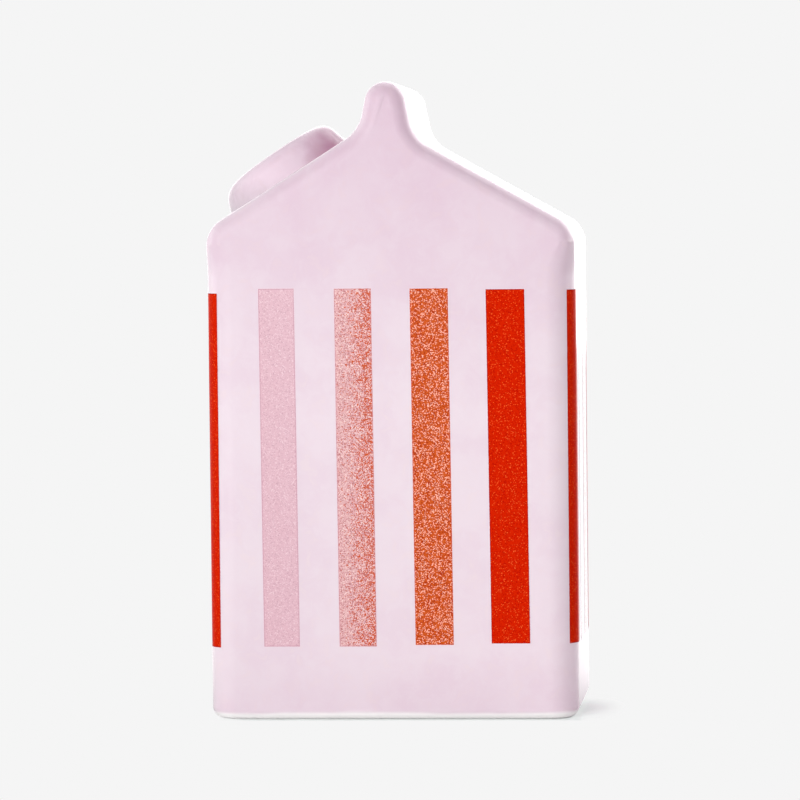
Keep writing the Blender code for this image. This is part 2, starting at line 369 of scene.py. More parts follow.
@dataclass
class SharedEffects:
    """The shader groups that more than one finish uses, each made once."""

    wide_noise: tuple[float, float, float] = (2.0, 0.55, 0.4)
    fine_noise: tuple[float, float, float] = (3.0, 0.6, 0.8)
    fine_per_wide: float = 4.3
    wide_share: float = 0.65
    cloud_span: Span = (0.36, 0.64)
    patch_span: Span = (0.52, 0.70)
    wave_noise: Span = (1.0, 0.4)
    clump_per_grain: float = 0.3
    speck_softness: float = 0.02
    tooth_scale: float = 3.1
    tooth_noise: Span = (2.0, 0.6)
    ink_softness: float = 0.10

    def __post_init__(self) -> None:
        """Make every group."""
        self.cloud = self.make_cloud()
        self.relief = self.make_relief()
        self.grain = self.make_grain()
        self.border = self.make_border()

    @staticmethod
    def start(name: str, inputs: dict[str, float | None]) -> tuple[Board, dict[str, Socket]]:
        """Start a group.

        Args:
            name: The group's name.
            inputs: Each input with its usual value, or None for a vector.

        Returns:
            The board and the input sockets by name.
        """
        tree = bpy.data.node_groups.new(name, "ShaderNodeTree")
        for key, value in inputs.items():
            kind = "NodeSocketVector" if value is None else "NodeSocketFloat"
            socket = tree.interface.new_socket(name=key, in_out="INPUT", socket_type=kind)
            if value is not None:
                socket.default_value = value
        board = Board(tree)
        source = board.add("NodeGroupInput")
        return board, {key: source.outputs[key] for key in inputs}

    @staticmethod
    def close(board: Board, results: dict[str, Socket]) -> Tree:
        """Finish a group with its outputs.

        Args:
            board: The group's board.
            results: The values that it puts out, by name.

        Returns:
            The group.
        """
        for key in results:
            board.tree.interface.new_socket(name=key, in_out="OUTPUT", socket_type="NodeSocketFloat")
        board.add("NodeGroupOutput", results)
        return board.tree

    def make_cloud(self) -> Tree:
        """Make the soft clouding of a glaze that lies thicker here and thinner there.

        Returns:
            The group.
        """
        board, given = self.start("glaze_cloud", {"Vector": None, "Scale": 30.0})
        wide = board.noise(given["Vector"], given["Scale"], *self.wide_noise)
        fine_scale = board.maths("MULTIPLY", given["Scale"], self.fine_per_wide)
        fine = board.noise(given["Vector"], fine_scale, *self.fine_noise)
        mixed = board.lift(board.maths("MULTIPLY", wide, self.wide_share), fine, 1 - self.wide_share)
        return self.close(board, {"Cloud": board.ramp(mixed, *self.cloud_span),
                                  "Patch": board.ramp(fine, *self.patch_span)})

    def make_relief(self) -> Tree:
        """Make the slow waviness and the fine orange peel of a fired glaze.

        Returns:
            The group.
        """
        inputs = {"Vector": None, "Wave Scale": 40.0, "Peel Scale": 900.0, "Peel": 0.15}
        board, given = self.start("glaze_relief", inputs)
        wave = board.noise(given["Vector"], given["Wave Scale"], *self.wave_noise)
        peel = board.noise(given["Vector"], given["Peel Scale"])
        return self.close(board, {"Height": board.lift(wave, peel, given["Peel"])})

    def make_grain(self) -> Tree:
        """Make the grain of a printed screen: pale and dark specks, and a chance for each grain.

        Returns:
            The group.
        """
        inputs = {"Vector": None, "Grain Scale": 2.2, "Pale": 0.2, "Dark": 0.2, "Clump": 0.2}
        board, given = self.start("print_grain", inputs)
        cells = {"Vector": given["Vector"], "Scale": given["Grain Scale"]}
        grains = board.add("TexVoronoi", cells, voronoi_dimensions="2D")
        drawn = board.add("SeparateColor", {0: grains.outputs["Color"]}).outputs
        clump_scale = board.maths("MULTIPLY", given["Grain Scale"], self.clump_per_grain)
        swayed = board.sway(drawn["Red"], board.noise(given["Vector"], clump_scale), given["Clump"])
        soft = self.speck_softness
        pale_from = board.maths("SUBTRACT", 1 - soft, given["Pale"])
        pale = board.ramp(swayed, pale_from, board.maths("ADD", pale_from, 2 * soft))
        dark_from = board.maths("ADD", soft, given["Dark"])
        dark = board.ramp(swayed, dark_from, board.maths("SUBTRACT", dark_from, 2 * soft))
        return self.close(board, {"Pale Specks": pale, "Dark Specks": dark, "Chance": drawn["Green"]})

    def make_border(self) -> Tree:
        """Make the border of a transfer, with an uneven edge of the ink and a line inside it.

        Returns:
            The group.
        """
        inputs = {"Vector": None, "Width": 10.0, "Length": 100.0, "Margin": 0.10, "Ragged": 0.20,
                  "Line": 0.50}
        board, given = self.start("print_border", inputs)
        spot = board.split(given["Vector"])
        sides = []
        for axis, size in (("X", "Width"), ("Y", "Length")):
            rest = board.maths("SUBTRACT", given[size], spot[axis])
            sides.append(board.maths("MINIMUM", spot[axis], rest))
        tooth = board.noise(given["Vector"], self.tooth_scale, *self.tooth_noise)
        edge = board.sway(board.maths("MINIMUM", *sides), tooth, given["Ragged"])
        cover_end = board.maths("ADD", given["Margin"], self.ink_softness)
        line_end = board.maths("ADD", given["Margin"], given["Line"])
        return self.close(board, {"Cover": board.ramp(edge, given["Margin"], cover_end),
                                  "Rim": board.ramp(edge, line_end, given["Margin"])})


# finishes


@dataclass(frozen=True)
class PaintedShade:
    """A painted shade that darkens the glaze along one axis, where less light falls."""

    axis: str
    start: float
    end: float
    colour: Colour


@dataclass(frozen=True)
class GlazeFinish:
    """The pale pink gloss glaze, with painted shade that darkens it towards the top and the foot, and an
    unglazed foot band painted near-white so that it also stands for the floor's reflection.
    """

    name: str = "glaze"
    colour: Colour = srgb(238, 224, 232)
    pooled: Colour = srgb(236, 219, 229)
    warm: Colour = srgb(240, 225, 230)
    # Unglazed foot band, near-white so that it also stands for a painted reflection of the floor.
    clay_and_reflection: Colour = srgb(254, 253, 252)
    # Painted shade: darker and pinker towards the top, and a little darker towards the foot, where less
    # light falls.
    painted_shades: tuple[PaintedShade, ...] = (PaintedShade("Z", 0.085, 0.175, (0.864, 0.768, 0.828)),
                               PaintedShade("Z", 0.020, 0.003, (0.95, 0.92, 0.94)))
    cloud_scale: float = 55.0
    warm_share: float = 0.6
    # How much the clouding mottles the edge of each painted shade.
    shade_mottle: float = 0.14
    foot_height: float = 0.0020
    foot_softness: float = 0.0007
    foot_wave: float = 0.0012
    foot_wave_scale: float = 70.0
    roughness: float = 0.15
    pooled_roughness: float = 0.05
    clay_roughness: float = 0.3
    specular: float = 0.5
    bump: Span = (0.2, 0.0006)

    def material(self, effects: SharedEffects) -> Material:
        """Make the glaze's material.

        Args:
            effects: The shared groups.

        Returns:
            The material.
        """
        made, board = new_material(self.name)
        where = board.add("TexCoord").outputs["Object"]
        spot = board.split(where)
        clouds = {"Vector": where, "Scale": self.cloud_scale}
        cloud = board.add("Group", clouds, node_tree=effects.cloud).outputs
        tone = board.mix(cloud["Cloud"], self.colour, self.pooled)
        tone = board.mix(board.maths("MULTIPLY", cloud["Patch"], self.warm_share), tone, self.warm)
        # Painted shade: each darkening is multiplied in along its axis, with its edge mottled by the
        # clouding.
        for painted_shade in self.painted_shades:
            span = {"Value": spot[painted_shade.axis], "From Min": painted_shade.start, "From Max": painted_shade.end}
            share = board.add("MapRange", span).outputs["Result"]
            share = board.sway(share, cloud["Cloud"], self.shade_mottle)
            tone = board.vectors("MULTIPLY", tone, board.mix(share, WHITE, painted_shade.colour))
        # Unglazed foot band below a wavy line: partly real bare body, partly a painted reflection of the
        # floor on the rounded foot.
        line = board.sway(spot["Z"], board.noise(where, self.foot_wave_scale), self.foot_wave)
        top, bottom = self.foot_height + self.foot_softness, self.foot_height - self.foot_softness
        bare_and_reflection = board.ramp(line, top, bottom)
        tone = board.mix(bare_and_reflection, tone, self.clay_and_reflection)
        rough = board.lift(self.roughness, cloud["Cloud"], self.pooled_roughness)
        rough = board.lift(rough, bare_and_reflection, self.clay_roughness)
        relief = board.add("Group", {"Vector": where}, node_tree=effects.relief).outputs["Height"]
        board.glossy(tone, rough, relief, self.bump, self.specular)
        return made


@dataclass(frozen=True)
class InkFinish:
    """One printed ink of the striped transfers, over the glaze."""

    name: str
    ink: Colour
    pale: Colour
    dark: Colour
    rim: Colour
    width_mm: float
    pale_share: float
    dark_share: float
    clump: float
    rim_share: float
    length_mm: float = 101.5
    grain_scale: float = 4.6
    fade_to: Colour | None = None
    fade_span: Span = (0.05, 1.0)
    fade_shares: Span = (0.02, 0.74)
    fade_softness: float = 0.02
    drift: float = 0.7
    drift_scale: float = 0.35
    glaze: Colour = srgb(240, 221, 231)
    roughness: float = 0.12
    dark_roughness: float = 0.1
    specular: float = 0.5
    wave_scale: float = 0.2
    peel_scale: float = 1.4
    peel: float = 0.15
    bump: Span = (0.12, 0.0003)

    def material(self, effects: SharedEffects) -> Material:
        """Make the ink's material on a film that carries its own map.

        Args:
            effects: The shared groups.

        Returns:
            The material.
        """
        made, board = new_material("ink_" + self.name)
        where = board.add("UVMap", uv_map=FILM_MAP).outputs[0]
        spot = board.vectors("MULTIPLY", where, (self.width_mm, self.length_mm, 1.0))
        values = {"Vector": spot, "Grain Scale": self.grain_scale, "Pale": self.pale_share,
                  "Dark": self.dark_share, "Clump": self.clump}
        grain = board.add("Group", values, node_tree=effects.grain).outputs
        values = {"Vector": spot, "Width": self.width_mm, "Length": self.length_mm}
        border = board.add("Group", values, node_tree=effects.border).outputs
        tone: Value = self.ink
        if self.fade_to is not None:
            tone = self.faded(board, where, spot, grain["Chance"])
        tone = board.mix(grain["Dark Specks"], tone, self.dark)
        tone = board.mix(grain["Pale Specks"], tone, self.pale)
        tone = board.mix(board.maths("MULTIPLY", border["Rim"], self.rim_share), tone, self.rim)
        tone = board.mix(border["Cover"], self.glaze, tone)
        rough = board.lift(self.roughness, grain["Dark Specks"], self.dark_roughness)
        values = {"Vector": spot, "Wave Scale": self.wave_scale, "Peel Scale": self.peel_scale,
                  "Peel": self.peel}
        relief = board.add("Group", values, node_tree=effects.relief).outputs["Height"]
        board.glossy(tone, rough, relief, self.bump, self.specular)
        return made

    def faded(self, board: Board, where: Value, spot: Value, chance: Value) -> Socket:
        """Let a second ink come in grain by grain towards the film's right edge.

        Args:
            board: The material's board.
            where: The film's map, from 0 to 1.
            spot: The film's map in millimetres.
            chance: A chance drawn for each grain.

        Returns:
            The ink's colour.
        """
        across = board.split(where)["X"]
        amount = board.sway(across, board.noise(spot, self.drift_scale), self.drift)
        reach = board.ramp(amount, *self.fade_span, *self.fade_shares)
        beyond = board.maths("SUBTRACT", chance, reach)
        share = board.ramp(beyond, self.fade_softness, -self.fade_softness)
        return board.mix(share, self.ink, self.fade_to)


class Ink(Enum):
    """The four kinds of transfer."""

    PINK = "pink"
    FADE = "fade"
    ORANGE = "orange"
    RED = "red"


# A shaded copy of the glaze for the spout, with painted shade: a little darker and pinker towards the
# top, darker towards its low end where it meets the roof, and dark mauve at its uphill end beside the
# fin.
SPOUT_GLAZE_PAINTED_SHADE = GlazeFinish("spout_glaze_painted_shade", specular=0.1,
                          painted_shades=(PaintedShade("Z", 0.085, 0.175, (0.95, 0.87, 0.92)),
                                 PaintedShade("Z", 0.155, 0.130, (0.40, 0.47, 0.44)),
                                 PaintedShade("X", -0.0262, -0.0180, (0.62, 0.35, 0.48))))

INKS = {
    Ink.PINK: InkFinish("pink", ink=srgb(229, 189, 200), pale=srgb(242, 213, 220),
                        dark=srgb(214, 169, 183), rim=srgb(206, 150, 168), width_mm=10.4,
                        pale_share=0.12, dark_share=0.14, clump=0.15, rim_share=0.9),
    Ink.FADE: InkFinish("fade", ink=srgb(229, 177, 179), pale=srgb(247, 218, 216),
                        dark=srgb(198, 124, 126), rim=srgb(204, 136, 146), width_mm=10.8,
                        pale_share=0.18, dark_share=0.18, clump=0.2, rim_share=0.7,
                        fade_to=srgb(211, 88, 44)),
    Ink.ORANGE: InkFinish("orange", ink=srgb(212, 88, 32), pale=srgb(252, 198, 178),
                          dark=srgb(176, 44, 10), rim=srgb(190, 64, 30), width_mm=11.1,
                          pale_share=0.185, dark_share=0.23, clump=0.35, rim_share=0.6, specular=0.1),
    Ink.RED: InkFinish("red", ink=srgb(211, 33, 2), pale=srgb(234, 92, 42),
                       dark=srgb(190, 19, 2), rim=srgb(150, 18, 8), width_mm=11.2,
                       pale_share=0.06, dark_share=0.16, clump=0.15, rim_share=0.8, specular=0.005),
}


# the vase


@dataclass
class CartonBody:
    """The slip cast body: walls, gabled roof and ridge fin, hollow, on a foot ring."""

    width: float = 0.1044
    depth: float = 0.0748
    shoulder: float = 0.1388
    height: float = 0.1800
    wall: float = 0.0050
    floor: float = 0.0060
    roof_degrees: Span = (32.1, 29.4)
    fin_offset: float = -0.0008
    fin_width: float = 0.0096
    fin_flare_degrees: float = 11.5
    shoulder_radius: float = 0.0115
    root_radius: float = 0.0100
    fin_radius: float = 0.0058
    fin_round_share: float = 0.98
    wall_edge: float = 0.0080
    roof_edge: float = 0.0045
    foot_radius: float = 0.0033
    edge_fade: Span = (0.1248, 0.1388)
    edge_reach: float = 0.00675
    edge_slice: float = 0.00012
    foot_ring: float = 0.0080
    recess: float = 0.0015
    recess_corner: float = 0.0060
    recess_edge: float = 0.0008
    cavity_edge: float = 0.0035
    cavity_ridge: float = 0.07
    sketch_step: float = 0.0080
    segments: int = 12
    recess_segments: int = 8
    recess_edge_segments: int = 3
    cavity_segments: int = 4
    bore_sides: int = 64
    fade_steps: int = 4
    piece: Piece = field(init=False)

    def roof_angle(self, side: int) -> float:
        """Give the steepness of the left (-1) or right (1) roof slope in radians."""
        return math.radians(self.roof_degrees[0 if side < 0 else 1])

    def roof_line(self, side: int) -> tuple[Vector, Vector]:
        """Give a slope's sharp shoulder point and its direction upwards, in the front view."""
        angle = self.roof_angle(side)
        return (Vector((side * self.width / 2, self.shoulder)),
                Vector((-side * math.cos(angle), math.sin(angle))))

    def fin_side(self, side: int) -> tuple[Vector, Vector]:
        """Give the root and the top corner of one side of the fin in the front view.

        Args:
            side: -1 for the left side and 1 for the right one.

        Returns:
            The two points.
        """
        flare = math.radians(self.fin_flare_degrees)
        top = Vector((self.fin_offset + side * self.fin_width / 2, self.height))
        down = Vector((side * math.sin(flare), -math.cos(flare)))
        start, along = self.roof_line(side)
        gap = top - start
        reach = (gap.x * down.y - gap.y * down.x) / (along.x * down.y - along.y * down.x)
        return start + along * reach, top

    def edge_radius(self, level: float) -> float:
        """Give the rounding of the front and back edges at a height.

        Args:
            level: The height.

        Returns:
            The radius.
        """
        low, high = self.edge_fade
        share = min(1.0, max(0.0, (level - low) / (high - low)))
        share = share * share * (3 - 2 * share)
        return self.wall_edge + (self.roof_edge - self.wall_edge) * share

    def on_front(self, spot: Vector, lift: float = 0.0) -> Vector:
        """Put a point of the front view on the front face."""
        return Vector((spot.x, -self.depth / 2, spot.y + lift))

    def build(self, spout: "Spout") -> None:
        """Model the body, with the spout's bore through its roof.

        Args:
            spout: The spout.
        """
        self.draw_gable()
        self.round_outline()
        self.make_solid()
        self.round_edges()
        self.carve_cavity()
        self.carve_recess()
        bpy.ops.mesh.primitive_cylinder_add(vertices=self.bore_sides, radius=spout.mouth / 2,
                                            depth=4 * self.wall)
        bore = bpy.context.active_object
        bore.matrix_world = spout.seat()
        settle(bore)
        carve(self.piece, bore)
        smooth(self.piece)

    def draw_gable(self) -> None:
        """Draw the front gable as one flat face with sharp corners."""
        bpy.ops.mesh.primitive_plane_add(size=self.width, rotation=(math.pi / 2, 0.0, 0.0),
                                         location=(0.0, -self.depth / 2, self.width / 2))
        self.piece = bpy.context.active_object
        self.piece.name = "glazed_body"
        settle(self.piece)
        with edit_mode(self.piece):
            pick("EDGE", above(TINY))
            slide(up(self.shoulder - self.width))
            corners = [self.roof_line(-1)[0], self.roof_line(1)[0]]
            for targets in zip(self.fin_side(-1), self.fin_side(1)):
                ends = [self.on_front(corner) for corner in corners]
                pick("EDGE", lambda points, _: all(is_near(point, ends) for point in points))
                extrude(up(self.sketch_step))
                for corner, target in zip(corners, targets):
                    now = self.on_front(corner, self.sketch_step)
                    pick("VERT", lambda points, _: is_near(points[0], [now]))
                    slide(self.on_front(target) - now)
                corners = targets
            pick_whole()
            bpy.ops.mesh.dissolve_faces()

    def round_outline(self) -> None:
        """Round the corners of the drawn gable and space points along its straight runs."""
        rounded = []
        for side in (-1, 1):
            angle = self.roof_angle(side)
            flare = math.radians(self.fin_flare_degrees)
            root, top = self.fin_side(side)
            rounded.append((self.roof_line(side)[0], self.shoulder_radius, math.pi / 2 - angle))
            rounded.append((root, self.root_radius, math.pi / 2 - flare - angle))
            rounded.append((top, self.fin_radius, math.pi / 2 - flare))
        widest = self.fin_width / 2 * self.fin_round_share
        with edit_mode(self.piece):
            for corner, radius, turn in rounded:
                spot = self.on_front(corner)
                pick("VERT", lambda points, _: is_near(points[0], [spot]))
                bpy.ops.mesh.bevel(offset=min(radius * math.tan(turn / 2), widest),
                                   segments=self.segments, affect="VERTICES")
            pick_whole()
            bpy.ops.mesh.delete(type="ONLY_FACE")
            low, high = self.edge_fade[0], self.shoulder - self.shoulder_radius / 2
            for step in range(self.fade_steps):
                pick_whole()
                bpy.ops.mesh.bisect(plane_co=up(low + (high - low) * step / self.fade_steps),
                                    plane_no=up(1.0))
            pick_whole()
            bpy.ops.mesh.edge_face_add()

    def make_solid(self) -> None:
        """Extrude the gable to the back."""
        with edit_mode(self.piece):
            pick_whole()
            extrude(Vector((0.0, self.depth, 0.0)))
            face_outwards()

    def round_edges(self) -> None:
        """Round the front and back edges, more along the walls than the roof, and the foot's."""
        corners = [vert.co.copy() for vert in self.piece.data.vertices if vert.co.z < self.edge_fade[1]]
        with edit_mode(self.piece):
            pick("EDGE", lambda points, _: abs(points[0].y - points[1].y) < TINY
                 and max(point.z for point in points) > TINY)
            bpy.ops.mesh.bevel(offset=self.roof_edge, segments=self.segments)
            for corner in corners:
                side = -1 if corner.x < 0 else 1
                turn = math.pi / 2 - self.roof_angle(side)
                arc_level = self.shoulder - self.shoulder_radius * math.tan(turn / 2)
                arc_across = side * (self.width / 2 - self.shoulder_radius)
                spoke = corner - Vector((arc_across, corner.y, arc_level))
                along = Vector((-spoke.z, 0.0, spoke.x)).normalized() if spoke.z > TINY else up(1.0)
                self.widen_corner(corner, along, self.edge_radius(corner.z) / self.roof_edge)
        with edit_mode(self.piece):
            pick("EDGE", below(TINY))
            bpy.ops.mesh.bevel(offset=self.foot_radius, segments=self.segments)

    def widen_corner(self, corner: Vector, along: Vector, factor: float) -> None:
        """Widen the rounding at one place of an edge, which stays tangent to both its faces."""
        pick("VERT", lambda points, _: (points[0] - corner).length < self.edge_reach
             and abs((points[0] - corner).dot(along)) < self.edge_slice)
        bpy.ops.transform.resize(value=(factor,) * 3, center_override=corner)

    def carve_cavity(self) -> None:
        """Carve out the space inside."""
        slope = math.radians(sum(self.roof_degrees) / 2)
        eaves = self.shoulder + self.wall * (math.tan(slope) - 1 / math.cos(slope))
        rise = (self.width / 2 - self.wall) * math.tan(slope)
        size = (self.width - 2 * self.wall, self.depth - 2 * self.wall, eaves - self.floor)
        cutter = add_block(size, (self.floor + eaves) / 2)
        with edit_mode(cutter):
            pick("FACE", lambda _, normal: normal.z > FACES_UP)
            extrude(up(rise * (1 - self.cavity_ridge)))
            bpy.ops.transform.resize(value=(self.cavity_ridge, 1.0, 1.0))
            pick_whole()
            bpy.ops.mesh.bevel(offset=self.cavity_edge, segments=self.cavity_segments)
        carve(self.piece, cutter)

    def carve_recess(self) -> None:
        """Carve out the hollow inside the foot ring."""
        inset = 2 * (self.foot_radius + self.foot_ring)
        cutter = add_block((self.width - inset, self.depth - inset, 2 * self.recess), 0.0)
        with edit_mode(cutter):
            pick("EDGE", lambda points, _: abs(points[0].z - points[1].z) > TINY)
            bpy.ops.mesh.bevel(offset=self.recess_corner, segments=self.recess_segments)
            pick("EDGE", above(TINY))
            bpy.ops.mesh.bevel(offset=self.recess_edge, segments=self.recess_edge_segments)
        carve(self.piece, cutter)

    def dress(self, effects: SharedEffects) -> None:
        """Give the body its glaze, with its painted shade, and let it stand for its node."""
        place(self.piece, "vase_body", GlazeFinish().material(effects))


@dataclass
class Spout:
    """The drafted round spout with its rounded rim, luted on the left roof slope."""

    body: CartonBody
    up_slope: float = 0.0249
    base: float = 0.0411
    height: float = 0.0093
    draft_degrees: float = 19.0
    tilt_degrees: float = 1.8
    mouth: float = 0.0230
    rim_low: float = 0.0054
    rim_high: float = 0.0044
    rim_segments: int = 10
    lip: float = 0.0011
    lip_slack: float = 0.0005
    overshoot: float = 0.0020
    sides: int = 96
    sharp_degrees: float = 50.0
    piece: Piece = field(init=False)

    def seat(self) -> Matrix:
        """Give the spout's own frame: X up the slope and Z out of the roof.

        Returns:
            The frame.
        """
        start, along = self.body.roof_line(-1)
        spot = start + along * self.up_slope
        turn = Matrix.Rotation(-self.body.roof_angle(-1), 4, "Y")
        return Matrix.Translation((spot.x, 0.0, spot.y)) @ turn

    def build(self) -> None:
        """Model the spout upright and then seat it on the slope."""
        top = self.base / 2 - self.height * math.tan(math.radians(self.draft_degrees))
        bpy.ops.mesh.primitive_cone_add(vertices=self.sides, radius1=self.base / 2, radius2=top,
                                        depth=self.height, location=up(self.height / 2))
        self.piece = bpy.context.active_object
        self.piece.name = "glazed_spout"
        settle(self.piece)
        with edit_mode(self.piece):
            pick("FACE", lambda _, normal: normal.z > FACES_UP)
            bpy.ops.transform.rotate(value=math.radians(self.tilt_degrees), orient_axis="Y",
                                     center_override=up(self.height))
            bpy.ops.mesh.inset(thickness=top - self.mouth / 2)
            extrude(up(-self.height - self.overshoot))
            bpy.ops.mesh.delete(type="FACE")
            pick("FACE", lambda _, normal: normal.z < -FACES_UP)
            bpy.ops.mesh.delete(type="FACE")
            pick("VERT", below(-self.overshoot / 2))
            bpy.ops.transform.resize(value=(1.0, 1.0, 0.0), center_override=(0.0, 0.0, 0.0))
            pick("EDGE", below(TINY))
            bpy.ops.mesh.bridge_edge_loops()
            face_outwards()
        self.round_rim(top)
        smooth(self.piece, self.sharp_degrees)
        self.piece.matrix_world = self.seat()
        settle(self.piece)

    def round_rim(self, top: float) -> None:
        """Round the outer rim, more on its low side, and the lip of the mouth.

        Args:
            top: The rim's sharp radius.
        """
        mesh = self.piece.data
        weights = mesh.attributes.new("bevel_weight_edge", "FLOAT", "EDGE")
        widest = math.tan(math.radians(90 - self.draft_degrees) / 2) * self.rim_low
        for edge in mesh.edges:
            ends = [mesh.vertices[index].co for index in edge.vertices]
            middle = (ends[0] + ends[1]) / 2
            if min(end.z for end in ends) < self.height / 2:
                continue
            reach = math.hypot(middle.x, middle.y)
            if reach > (top + self.mouth / 2) / 2:
                share = (1 + middle.x / reach) / 2
                radius = self.rim_low + (self.rim_high - self.rim_low) * share
                weights.data[edge.index].value = radius / self.rim_low
            elif abs(reach - self.mouth / 2) < self.lip_slack:
                weights.data[edge.index].value = self.lip / widest
        finish_with(self.piece, "soft_rim", "BEVEL", width=widest, segments=self.rim_segments,
                    limit_method="WEIGHT", use_clamp_overlap=False, profile=0.5)

    def dress(self, effects: SharedEffects) -> None:
        """Give the spout its glaze, with its painted shade, and let it stand for its node."""
        place(self.piece, "spout", SPOUT_GLAZE_PAINTED_SHADE.material(effects))


@dataclass(frozen=True)
class FilmPlan:
    """Where one transfer lies round the walls, and how it was laid by hand."""

    node: str
    ink: Ink
    nudge: float = 0.0
    shift: float = 0.0
    lean: float = 0.0
    top_trim: float = 0.0
    bottom_trim: float = 0.0


RIGHT_NUDGE = 0.0021
LEFT_NUDGE = -0.0008
FILM_PLANS = (
    FilmPlan("stripe_front_pink", Ink.PINK, 0.0, 0.00098, 0.00063, -0.0003, 0.0004),
    FilmPlan("stripe_front_fade", Ink.FADE, 0.0, 0.00106, 0.00059, -0.00016, 0.00037),
    FilmPlan("stripe_front_orange", Ink.ORANGE, 0.0, 0.00119, 0.00072, 0.0, 0.00075),
    FilmPlan("stripe_front_red", Ink.RED, 0.0, 0.00118, 0.00078, 0.0004, 0.0011),
    FilmPlan("stripe_corner_front_right", Ink.RED, RIGHT_NUDGE, top_trim=0.0007, bottom_trim=0.0009),
    FilmPlan("stripe_right_pink", Ink.PINK),
    FilmPlan("stripe_right_fade", Ink.FADE),
    FilmPlan("stripe_corner_back_right", Ink.RED, LEFT_NUDGE),
    FilmPlan("stripe_back_pink", Ink.PINK),
    FilmPlan("stripe_back_fade", Ink.FADE),
    FilmPlan("stripe_back_orange", Ink.ORANGE),
    FilmPlan("stripe_back_red", Ink.RED),
    FilmPlan("stripe_corner_back_left", Ink.RED, RIGHT_NUDGE),
    FilmPlan("stripe_left_pink", Ink.PINK),
    FilmPlan("stripe_left_fade", Ink.FADE),
    FilmPlan("stripe_corner_front_left", Ink.RED, LEFT_NUDGE, top_trim=0.0009),
)


